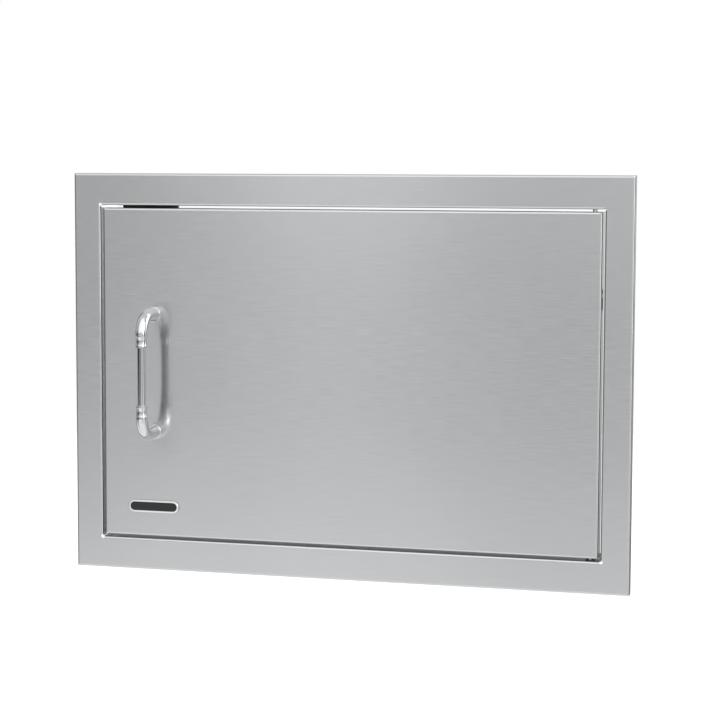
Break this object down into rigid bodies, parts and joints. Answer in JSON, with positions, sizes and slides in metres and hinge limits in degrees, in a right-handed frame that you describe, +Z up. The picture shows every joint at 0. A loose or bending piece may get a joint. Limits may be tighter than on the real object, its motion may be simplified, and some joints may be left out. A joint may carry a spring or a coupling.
{
  "type": "bbq island access door",
  "caption": "Wide stainless access door in a flanged frame, hung on pivot pins at one side, with a tubular pull handle, a magnetic catch and a small bare badge.",
  "frame": {"origin": "centre of the opening, in the plane of the wall that the flange's returned edges seat on", "axes": "+X to the hinge side, +Y into the wall, away from the person who opens it, +Z up"},
  "size_m": [0.6096, 0.0927, 0.4318],
  "materials": {
    "brushed_stainless": "fine horizontal grain, satin",
    "polished_chrome": "polished to a mirror",
    "polished_stainless": "bright drawn bar",
    "zinc_plated_steel": "bright zinc plate",
    "black_nylon": "moulded, satin",
    "ferrite_magnet": "ground, dull",
    "black_enamel": "filled enamel, gloss",
    "black_foam_tape": "closed-cell foam"
  },
  "bodies": {
    "frame": {"face_frame": "brushed_stainless", "top_pivot_bush": "black_nylon", "bottom_pivot_bush": "black_nylon", "catch_housing": "black_nylon", "catch_magnet": "ferrite_magnet", "catch_pole_plates": "zinc_plated_steel", "catch_screws": "zinc_plated_steel", "catch_nuts": "zinc_plated_steel"},
    "door": {"door_skin": "brushed_stainless", "door_liner": "brushed_stainless", "liner_rivets": "zinc_plated_steel", "top_guide_bracket": "zinc_plated_steel", "spring_bracket": "zinc_plated_steel", "bottom_pin_bracket": "zinc_plated_steel", "bottom_hinge_pin": "polished_stainless", "pin_spring": "zinc_plated_steel", "strike_plate": "zinc_plated_steel", "strike_rivets": "zinc_plated_steel", "handle_elbow_top": "polished_chrome", "handle_elbow_bottom": "polished_chrome", "handle_ferrule_top": "polished_chrome", "handle_ferrule_bottom": "polished_chrome", "handle_tube": "polished_chrome", "handle_screws": "zinc_plated_steel", "handle_washers": "zinc_plated_steel", "badge_bezel": "polished_chrome", "badge_field": "black_enamel", "badge_pad": "black_foam_tape"},
    "top_pin": {"sprung_hinge_pin": "polished_stainless", "pin_clip": "zinc_plated_steel"}
  },
  "joints": [
    {"name": "door_swing", "type": "hinge", "parent": "frame", "child": "door", "pos_m": [0.2629, -0.00247, 0], "axis": [0, 0, 1], "range_deg": [0, 108]},
    {"name": "pin_slide", "type": "slide", "parent": "door", "child": "top_pin", "axis": [0, 0, 1], "range_m": [-0.008, 0], "stiffness_N_per_m": 600, "springref_m": 0.01, "deforming": ["pin_spring"]}
  ]
}
